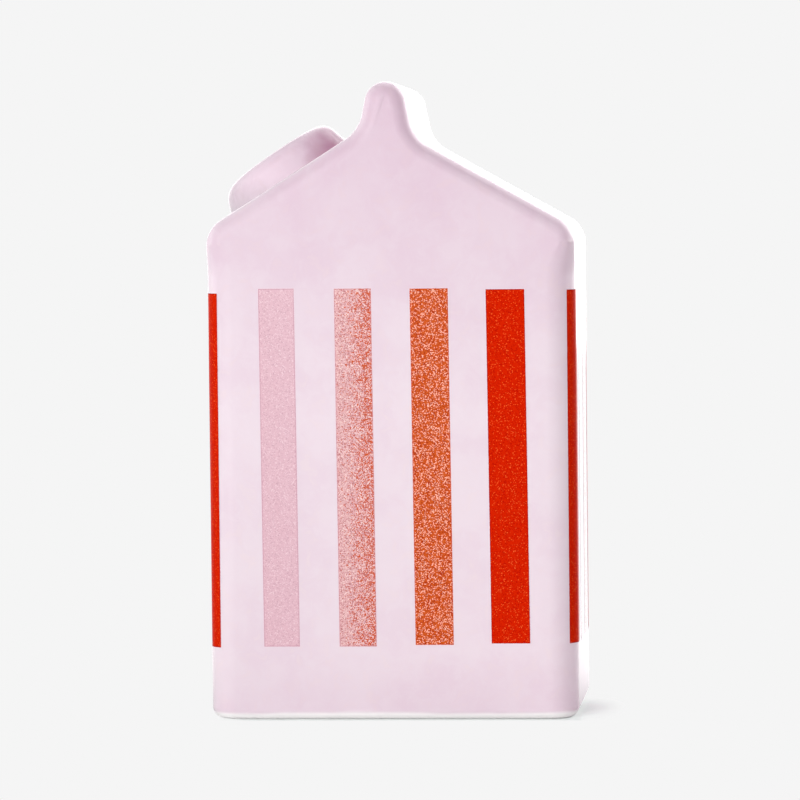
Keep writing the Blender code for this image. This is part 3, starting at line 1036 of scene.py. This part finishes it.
@dataclass
class StripedTransfers:
    """The ring of striped films round the walls."""

    body: CartonBody
    bottom: float = 0.0203
    top: float = 0.1218
    gap: float = 0.00002
    thickness: float = 0.00003
    arc_step_degrees: float = 5.0
    flat_step: float = 0.0030
    first_pitches: float = -1.5
    pieces: dict[str, Piece] = field(default_factory=dict)

    def runs(self) -> tuple[float, ...]:
        """Give the lengths of the runs round the walls, from the middle of the front.

        Returns:
            Flat and curved runs in turn.
        """
        edge = self.body.wall_edge
        half, side, bend = self.body.width / 2 - edge, self.body.depth - 2 * edge, edge * math.pi / 2
        return (half, bend, side, bend, 2 * half, bend, side, bend, half)

    def spot(self, distance: float) -> tuple[Vector, float]:
        """Give the point at a distance round the walls, just outside them, and the way they run.

        Args:
            distance: The distance from the middle of the front, towards the right.

        Returns:
            The point in plan and the heading.
        """
        runs = self.runs()
        here = Vector((0.0, -self.body.depth / 2))
        heading, left = 0.0, distance % sum(runs)
        for index, length in enumerate(runs):
            covered = min(left, length)
            ahead = Vector((math.cos(heading), math.sin(heading)))
            if index % 2 == 0:
                here = here + ahead * covered
            else:
                spoke = Vector((ahead.y, -ahead.x)) * self.body.wall_edge
                centre = here - spoke
                spoke.rotate(Matrix.Rotation(covered / self.body.wall_edge, 2))
                here = centre + spoke
                heading += covered / self.body.wall_edge
            left -= covered
            if left <= 0.0:
                break
        return here + Vector((math.sin(heading), -math.cos(heading))) * self.gap, heading

    def stations(self, start: float, end: float) -> list[float]:
        """Space stations from one distance round the walls to another.

        Args:
            start: The first distance.
            end: The last distance.

        Returns:
            The distances, closer together on the bends.
        """
        found = [start]
        passed = 0.0
        steps = (self.flat_step, self.body.wall_edge * math.radians(self.arc_step_degrees))
        for index, length in enumerate(self.runs() * 2):
            low, high = max(start, passed), min(end, passed + length)
            if high > low + TINY:
                count = math.ceil((high - low) / steps[index % 2])
                found.extend(low + (high - low) * (part + 1) / count for part in range(count))
            passed += length
        return found

    def build(self) -> None:
        """Model one film of each kind and copy it to every place."""
        around = sum(self.runs())
        pitch = around / len(FILM_PLANS)
        models: dict[str, Piece] = {}
        for order, plan in enumerate(FILM_PLANS):
            centre = ((self.first_pitches + order) * pitch + plan.nudge) % around
            half = INKS[plan.ink].width_mm * MM / 2
            home, kind = around, plan.ink.value
            spot, heading = self.spot(centre)
            middle = Vector((0.0, -self.body.depth / 2 - self.gap))
            if plan.nudge:
                at_back = around / 4 < centre < around * 3 / 4
                home, kind = (centre + around / 2 * at_back) % around, f"bent {plan.nudge:+}"
                middle, spot, heading = Vector((0.0, 0.0)), Vector((0.0, 0.0)), math.pi * at_back
            if kind not in models:
                models[kind] = self.build_film(home - half, home + half)
            piece = models[kind].copy()
            piece.data = models[kind].data.copy()
            piece.name = "film_" + plan.node.removeprefix("stripe_")
            bpy.context.scene.collection.objects.link(piece)
            self.lay(piece, plan, self.spot(home)[1])
            turn = Matrix.Rotation(heading, 4, "Z") @ Matrix.Translation(-middle.to_3d())
            piece.matrix_world = Matrix.Translation(spot.to_3d()) @ turn
            settle(piece)
            self.pieces[plan.node] = piece
        for model in models.values():
            bpy.data.objects.remove(model, do_unlink=True)

    def build_film(self, start: float, end: float) -> Piece:
        """Model one film by extruding its leading edge along the wall.

        Args:
            start: Where it starts round the walls.
            end: Where it ends.

        Returns:
            The film, as a sheet.
        """
        stations = self.stations(start, end)
        spots = [self.spot(station)[0] for station in stations]
        first = spots[1] - spots[0]
        middle = (spots[0] + spots[1]) / 2
        level = self.bottom + first.length / 2
        turn = (math.pi / 2, 0.0, math.atan2(first.y, first.x))
        bpy.ops.mesh.primitive_plane_add(size=first.length, location=(*middle, level), rotation=turn)
        piece = bpy.context.active_object
        settle(piece)
        with edit_mode(piece):
            pick("VERT", above(level))
            slide(up(self.top - self.bottom - first.length))
            for here, there in zip(spots[1:], spots[2:]):
                pick("EDGE", lambda points, _: all((point.xy - here).length < TINY for point in points))
                extrude((there - here).to_3d())
        self.map_film(piece, spots, stations)
        return piece

    def lay(self, piece: Piece, plan: FilmPlan, heading: float) -> None:
        """Lay a film as the hand did, with its ends trimmed and a little lean, and make it solid.

        Args:
            piece: The film's sheet.
            plan: How it lies.
            heading: Which way the wall runs there.
        """
        half = (self.bottom + self.top) / 2
        along = Vector((math.cos(heading), math.sin(heading), 0.0))
        with edit_mode(piece):
            pick("VERT", above(half))
            slide(up(-plan.top_trim) + along * (plan.shift - plan.lean))
            pick("VERT", below(half))
            slide(up(plan.bottom_trim) + along * plan.shift)
        finish_with(piece, "film", "SOLIDIFY", thickness=self.thickness, offset=1.0)

    @staticmethod
    def map_film(piece: Piece, spots: list[Vector], stations: list[float]) -> None:
        """Give a film its own map, from 0 to 1 across it and along it.

        Args:
            piece: The film as a sheet.
            spots: The points of its stations in plan.
            stations: The distances of its stations.
        """
        mesh = piece.data
        for layer in list(mesh.uv_layers):
            mesh.uv_layers.remove(layer)
        layer = mesh.uv_layers.new(name=FILM_MAP)
        middle = sum((vert.co.z for vert in mesh.vertices), 0.0) / len(mesh.vertices)
        for loop in mesh.loops:
            point = mesh.vertices[loop.vertex_index].co
            near = min(range(len(spots)), key=lambda index: (spots[index] - point.xy).length)
            across = (stations[near] - stations[0]) / (stations[-1] - stations[0])
            layer.data[loop.index].uv = (across, 1.0 if point.z > middle else 0.0)

    def dress(self, effects: SharedEffects) -> None:
        """Give each film its ink and let it stand for its node.

        Args:
            effects: The shared groups.
        """
        inks = {ink: finish.material(effects) for ink, finish in INKS.items()}
        for plan in FILM_PLANS:
            smooth(self.pieces[plan.node])
            place(self.pieces[plan.node], plan.node, inks[plan.ink])


# the studio


@dataclass(frozen=True)
class Softbox:
    """A large soft lamp."""

    name: str
    spot: tuple[float, float, float]
    size: float
    power: float
    mirrored: bool = True

    def light(self, aim: Vector) -> None:
        """Add the lamp.

        Args:
            aim: What it points at.
        """
        data = bpy.data.lights.new(self.name, "AREA")
        data.shape = "SQUARE"
        data.size = self.size
        data.energy = self.power
        lamp = bpy.data.objects.new(self.name, data)
        bpy.context.scene.collection.objects.link(lamp)
        lamp.visible_glossy = self.mirrored
        lamp.location = self.spot
        lamp.rotation_euler = (Vector(self.spot) - aim).to_track_quat("Z", "Y").to_euler()


@dataclass
class Studio:
    """The pale floor, the soft lights and the camera."""

    background: float = 0.9131
    gloss_levels: Span = (0.06, 1.35)
    gloss_sides: Span = (1.1, 2.4)
    gloss_floor_span: Span = (-0.15, 0.15)
    gloss_depth_span: Span = (-0.35, 0.25)
    gloss_side_span: Span = (-0.5, 0.08)
    ambient_sides: Span = (0.495, 0.351)
    ambient_side_span: Span = (-0.5, 0.5)
    ambient_heights: Span = (1.05, 0.65)
    ambient_height_span: Span = (0.1, 0.9)
    shade: Colour = (1.0, 0.80, 0.92)
    shade_span: Span = (0.1, 0.7)
    floor_size: float = 8.0
    floor_albedo: float = 0.92
    floor_seen: Colour = (1.02, 1.10, 1.07)
    contact_reach: float = 0.0018
    front_left: Span = (-0.051, -0.038)
    front_depth: Span = (0.0, -0.030)
    back_right: Span = (0.0500, 0.0470)
    back_depth: Span = (0.0, 0.015)
    footprint: Span = (0.0522, 0.0374)
    shadow_middle: Span = (0.0520, -0.0080)
    shadow_radii: Span = (0.0125, 0.0330)
    shadow_span: Span = (1.0, 0.1)
    yaw_degrees: float = 5.13
    elevation_degrees: float = 2.14
    roll_degrees: float = -0.61
    distance: float = 1.30
    focal_pixels: float = 4486.0
    clip: Span = (0.1, 20.0)
    aim: tuple[float, float, float] = (-0.0005, 0.0, 0.08893)
    lamp_aim: tuple[float, float, float] = (0.0, 0.0, 0.09)
    boxes: tuple[Softbox, ...] = (
        Softbox("key", (-0.66, -1.80, 0.35), 1.2, 30.2, mirrored=False),
        Softbox("side", (-1.70, 0.20, 0.50), 1.2, 3.0),
        Softbox("rear", (1.30, 1.20, 1.10), 1.6, 22.0),
    )

    def build(self) -> None:
        """Set up the floor, the lights, the surroundings and the camera."""
        self.lay_floor()
        for box in self.boxes:
            box.light(Vector(self.lamp_aim))
        self.surround()
        self.set_camera()
        bpy.context.scene.view_settings.view_transform = "Standard"

    def lay_floor(self) -> None:
        """Lay the pale floor, which keeps the vase's shadow."""
        bpy.ops.mesh.primitive_plane_add(size=self.floor_size, location=(0.0, 0.0, 0.0))
        floor = bpy.context.active_object
        floor.name = "floor"
        made, board = new_material("floor")
        where = board.add("TexCoord").outputs["Object"]
        spot = board.split(where)
        matt = board.add("BsdfDiffuse", {"Color": (self.floor_albedo,) * 3})
        pale = board.add("BsdfDiffuse", {"Color": self.floor_seen})
        glow = board.add("Emission", {"Color": (self.background,) * 3})
        share = self.shadow_share(board, where)
        seen = board.add("MixShader", {0: share, 1: glow.outputs[0], 2: pale.outputs[0]})
        shine = board.ramp(spot["Y"], *self.gloss_floor_span, *self.gloss_levels)
        sheen = board.add("Emission", {"Strength": shine})
        board.by_ray("OutputMaterial", matt.outputs[0], sheen.outputs[0], seen.outputs[0])
        floor.data.materials.append(made)

    def shadow_share(self, board: Board, where: Socket) -> Socket:
        """Give how much of the real shadow shows: close to the foot, and in an oval on its right.

        Args:
            board: The floor's board.
            where: The place on the floor.

        Returns:
            The share, from 0 to 1.
        """
        spot = board.split(where)
        apart = board.vectors("SUBTRACT", board.vectors("ABSOLUTE", where), (*self.footprint, 0.0))
        away = board.vectors("LENGTH", board.vectors("MAXIMUM", apart))
        off = board.vectors("SUBTRACT", where, (*self.shadow_middle, 0.0))
        off = board.vectors("LENGTH", board.vectors("DIVIDE", off, (*self.shadow_radii, 1.0)))
        spans = ((self.front_left, self.front_depth), (self.back_right, self.back_depth))
        sides = [board.maths("MULTIPLY", board.ramp(spot["X"], *across), board.ramp(spot["Y"], *depth))
                 for across, depth in spans]
        near = board.ramp(away, self.contact_reach, 0.0)
        contact = board.maths("MULTIPLY", near, board.maths("MAXIMUM", *sides))
        return board.maths("MAXIMUM", contact, board.ramp(off, *self.shadow_span))

    def surround(self) -> None:
        """Light the studio from all round, more from the left and less from above, pinker from the right;
        the gloss mirrors a surrounding that is dark in front and bright behind and to the right, and the
        camera sees an even pale grey.
        """
        world = bpy.data.worlds.new("studio")
        world.use_nodes = True
        bpy.context.scene.world = world
        board = Board(world.node_tree)
        heading = board.split(board.add("TexCoord").outputs["Generated"])
        level = board.ramp(heading["X"], *self.ambient_side_span, *self.ambient_sides)
        fall = board.ramp(heading["Z"], *self.ambient_height_span, *self.ambient_heights)
        shine = board.ramp(heading["Y"], *self.gloss_depth_span, *self.gloss_levels)
        side = board.ramp(heading["X"], *self.gloss_side_span, *self.gloss_sides)
        tinge = board.mix(board.ramp(heading["X"], *self.shade_span), WHITE, self.shade)
        shaders = [board.add("Background", {"Color": colour, "Strength": strength}).outputs[0]
                   for colour, strength in ((tinge, board.maths("MULTIPLY", level, fall)),
                                            (WHITE, board.maths("MULTIPLY", shine, side)),
                                            (WHITE, self.background))]
        board.by_ray("OutputWorld", *shaders)

    def set_camera(self) -> None:
        """Put the camera where the photograph was taken from."""
        data = bpy.data.cameras.new("camera")
        data.sensor_width = SENSOR_MM
        data.lens = self.focal_pixels * SENSOR_MM / FRAME_PIXELS
        data.clip_start, data.clip_end = self.clip
        camera = bpy.data.objects.new("camera", data)
        bpy.context.scene.collection.objects.link(camera)
        yaw, tilt = math.radians(self.yaw_degrees), math.radians(self.elevation_degrees)
        back = Vector((math.sin(yaw) * math.cos(tilt), -math.cos(yaw) * math.cos(tilt), math.sin(tilt)))
        camera.location = Vector(self.aim) + back * self.distance
        roll = Quaternion((0.0, 0.0, 1.0), math.radians(self.roll_degrees))
        camera.rotation_euler = (back.to_track_quat("Z", "Y") @ roll).to_euler()
        bpy.context.scene.camera = camera


def main() -> None:
    """Build the vase and its studio."""
    logging.basicConfig(level=logging.INFO, format="%(name)s: %(message)s")
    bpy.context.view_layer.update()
    deselect_everything()
    effects = SharedEffects()
    body = CartonBody()
    spout = Spout(body)
    body.build(spout)
    body.dress(effects)
    spout.build()
    spout.dress(effects)
    transfers = StripedTransfers(body)
    transfers.build()
    transfers.dress(effects)
    Studio().build()


if __name__ == "__main__":
    main()
